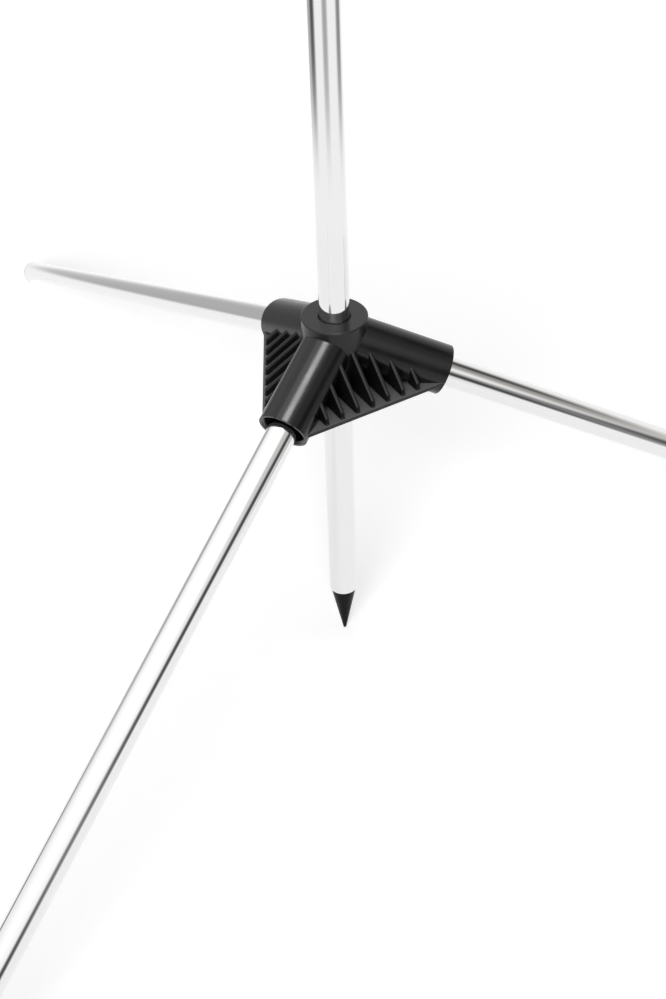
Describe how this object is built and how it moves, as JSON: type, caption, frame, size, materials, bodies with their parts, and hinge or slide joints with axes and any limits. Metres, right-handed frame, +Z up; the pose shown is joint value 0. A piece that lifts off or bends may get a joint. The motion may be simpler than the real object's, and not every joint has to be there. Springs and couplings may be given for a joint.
{
  "type": "tripod pole stand",
  "caption": "Free-standing tripod base for a lawn target game: a ribbed hub with sloping sockets, straight leg tubes and a sectional pole ending in a ground spike.",
  "frame": {"origin": "tip of the spike on the floor, on the pole's axis", "axes": "+Z up along the pole, +X under the right leg, away from the pole"},
  "size_m": [0.6891, 0.7932, 1.2516],
  "materials": {
    "black_plastic": "semi-matt moulded black",
    "polished_tube": "mirror polished",
    "grey_plastic": "matt light grey",
    "ferrule_metal": "turned"
  },
  "bodies": {
    "stand": {"hub": "black_plastic"},
    "leg_right": {"leg_tube_right": "polished_tube", "foot_plug_right": "grey_plastic"},
    "leg_back": {"leg_tube_back": "polished_tube", "foot_plug_back": "grey_plastic"},
    "leg_front": {"leg_tube_front": "polished_tube", "foot_plug_front": "grey_plastic"},
    "pole_bottom": {"pole_tube_lower": "polished_tube", "pole_ferrule_lower": "ferrule_metal", "spike": "black_plastic"},
    "pole_middle": {"pole_tube_middle": "polished_tube", "pole_ferrule_middle": "ferrule_metal"},
    "pole_top": {"pole_tube_upper": "polished_tube", "pole_cap": "black_plastic"}
  },
  "joints": [
    {"name": "leg_right_pull_out", "type": "slide", "parent": "stand", "child": "leg_right", "axis": [0.9112, 0, -0.412], "range_m": [0, 0.05]},
    {"name": "leg_back_pull_out", "type": "slide", "parent": "stand", "child": "leg_back", "axis": [-0.4556, 0.7891, -0.412], "range_m": [0, 0.05]},
    {"name": "leg_front_pull_out", "type": "slide", "parent": "stand", "child": "leg_front", "axis": [-0.4556, -0.7891, -0.412], "range_m": [0, 0.05]},
    {"name": "pole_lift", "type": "slide", "parent": "stand", "child": "pole_bottom", "axis": [0, 0, 1], "range_m": [0, 0.24]},
    {"name": "middle_section_lift", "type": "slide", "parent": "pole_bottom", "child": "pole_middle", "axis": [0, 0, 1], "range_m": [0, 0.045]},
    {"name": "top_section_lift", "type": "slide", "parent": "pole_middle", "child": "pole_top", "axis": [0, 0, 1], "range_m": [0, 0.045]}
  ]
}
